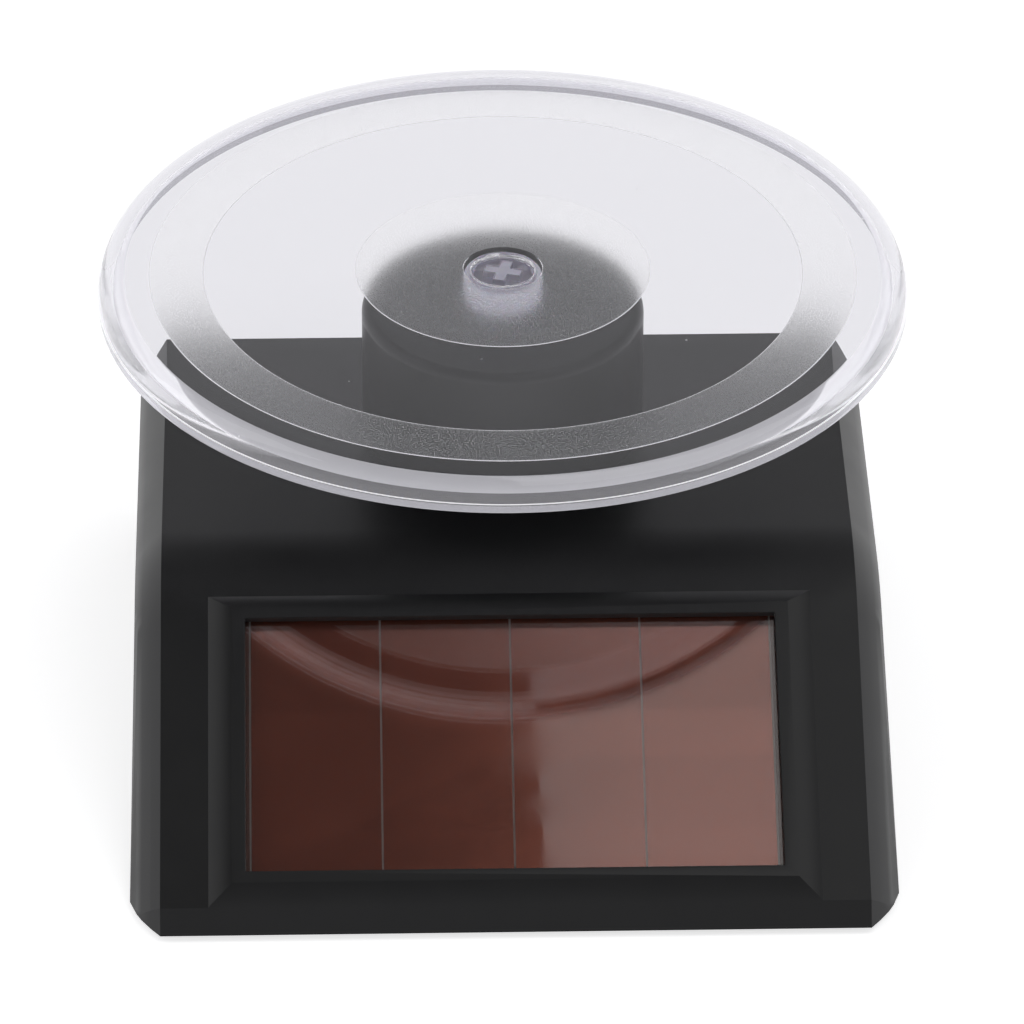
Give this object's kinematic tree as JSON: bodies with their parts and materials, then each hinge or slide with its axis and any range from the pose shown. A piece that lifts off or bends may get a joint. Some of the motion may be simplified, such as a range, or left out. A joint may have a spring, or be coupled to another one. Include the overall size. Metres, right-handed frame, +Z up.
{
  "type": "turntable display stand",
  "caption": "Solar and battery powered display stand: a clear round plate turned slowly by a geared motor in a wedge-shaped black housing.",
  "frame": {"origin": "on the ground, under the middle of the whole stand", "axes": "+X right, +Y to the back, +Z up; the turntable turns about Z, 12 mm behind the origin"},
  "size_m": [0.105, 0.129, 0.0514],
  "materials": {
    "housing_plastic": "fine satin moulded black plastic",
    "cover_plastic": "satin moulded black plastic",
    "screw_steel": "zinc plated",
    "foot_rubber": "soft black rubber",
    "clear_plastic": "clear, with two frosted zones on the underside",
    "shaft_plastic": "translucent",
    "gear_plastic": "natural white moulded plastic",
    "gearbox_plastic": "off-white moulded plastic",
    "pin_steel": "ground",
    "can_steel": "zinc plated",
    "tag_brass": "bright",
    "panel_glass": "thin flat glass",
    "cell_film": "brown thin-film cells",
    "back_film": "grey protective lacquer",
    "tape": "thin black adhesive tape",
    "cell_wrap": "plain shrink sleeve",
    "contact_metal": "nickel plated",
    "knob_plastic": "black moulded plastic",
    "red_lead": "PVC sleeve",
    "black_lead": "PVC sleeve"
  },
  "bodies": {
    "base": {"top_housing": "housing_plastic", "bottom_cover": "cover_plastic", "cover_screws": "screw_steel", "rubber_feet": "foot_rubber", "tower_bush": "gear_plastic", "gearbox_top_plate": "gearbox_plastic", "motor_plate": "gearbox_plastic", "plate_screws": "screw_steel", "pillar_screws": "screw_steel", "gear_axle": "pin_steel", "motor_can": "can_steel", "motor_end_cap": "gearbox_plastic", "motor_tags": "tag_brass", "motor_screws": "screw_steel", "panel_glass": "panel_glass", "panel_cells": "cell_film", "panel_back_film": "back_film", "panel_tape": "tape", "aa_cell": "cell_wrap", "positive_contact": "contact_metal", "negative_contact": "contact_metal", "battery_spring": "contact_metal", "switch_body": "can_steel", "switch_tags": "tag_brass", "solar_leads": "red_lead", "battery_leads": "black_lead", "motor_lead": "red_lead", "blocking_diode": "knob_plastic"},
    "drive": {"drive_shaft": "shaft_plastic", "output_gear": "gear_plastic", "output_pin": "pin_steel"},
    "turntable": {"turntable_plate": "clear_plastic"},
    "upper_gear": {"double_gear_upper": "gear_plastic"},
    "middle_gear": {"double_gear_middle": "gear_plastic"},
    "lower_gear": {"double_gear_lower": "gear_plastic"},
    "rotor": {"motor_shaft": "pin_steel", "motor_pinion": "tag_brass"},
    "door": {"battery_door": "cover_plastic"},
    "knob": {"switch_knob": "knob_plastic"}
  },
  "joints": [
    {"name": "turntable_spin", "type": "hinge", "parent": "base", "child": "drive", "pos_m": [0, 0.012, 0.03], "axis": [0, 0, 1], "continuous": true},
    {"name": "turntable_lift", "type": "slide", "parent": "drive", "child": "turntable", "axis": [0, 0, 1], "range_m": [0, 0.012]},
    {"name": "upper_gear_spin", "type": "hinge", "parent": "base", "child": "upper_gear", "pos_m": [0.008, 0.012, 0.03], "axis": [0, 0, 1], "continuous": true},
    {"name": "middle_gear_spin", "type": "hinge", "parent": "base", "child": "middle_gear", "pos_m": [0, 0.012, 0.03], "axis": [0, 0, 1], "continuous": true},
    {"name": "lower_gear_spin", "type": "hinge", "parent": "base", "child": "lower_gear", "pos_m": [0.008, 0.012, 0.03], "axis": [0, 0, 1], "continuous": true},
    {"name": "motor_spin", "type": "hinge", "parent": "base", "child": "rotor", "pos_m": [0, 0.012, 0.03], "axis": [0, 0, 1], "continuous": true},
    {"name": "battery_door_hinge", "type": "hinge", "parent": "base", "child": "door", "pos_m": [-0.02655, -0.021, 0.00195], "axis": [0, 1, 0], "range_deg": [0, 80]},
    {"name": "switch_slide", "type": "slide", "parent": "base", "child": "knob", "axis": [1, 0, 0], "range_m": [0, 0.002]}
  ],
  "couplings": [
    {"joint": "upper_gear_spin", "follows": "turntable_spin", "ratio": -3},
    {"joint": "middle_gear_spin", "follows": "turntable_spin", "ratio": 9},
    {"joint": "lower_gear_spin", "follows": "turntable_spin", "ratio": -27},
    {"joint": "motor_spin", "follows": "turntable_spin", "ratio": 81}
  ]
}
